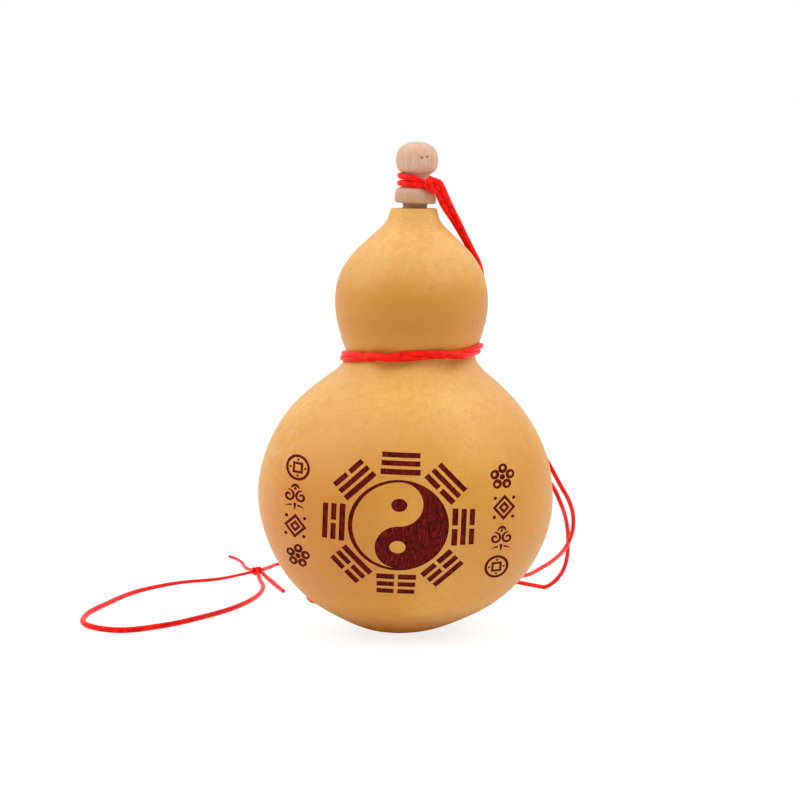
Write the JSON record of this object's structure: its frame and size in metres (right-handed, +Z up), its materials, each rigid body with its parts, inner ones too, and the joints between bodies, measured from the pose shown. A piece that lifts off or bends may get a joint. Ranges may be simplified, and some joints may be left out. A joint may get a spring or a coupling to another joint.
{
  "type": "dried bottle gourd",
  "caption": "Hollow dried bottle gourd with two bulbs and a narrow waist, standing on its foot, closed by a turned wooden stopper and tied with a thin red cord that trails behind it in a loop.",
  "frame": {"origin": "on the floor, under the middle of the large bulb", "axes": "+Z up through both bulbs; the engraved front faces -Y; +X is to the right as seen from the front"},
  "size_m": [0.1828, 0.2097, 0.1755],
  "materials": {
    "gourd_rind": "dried gourd rind, scraped and polished to a low sheen, with a burnt-in emblem on the front",
    "stopper_wood": "fine-grained pale hardwood, turned and sanded, unvarnished",
    "cord": "red satin knotting cord with a soft lengthwise sheen"
  },
  "bodies": {
    "root": {"gourd_shell": "gourd_rind", "stopper": "stopper_wood", "tied_cord": "cord", "hanging_strand_a": "cord", "hanging_strand_b": "cord", "loop_knot": "cord", "hanging_loop": "cord", "tail_left": "cord", "tail_right": "cord"}
  },
  "joints": []
}
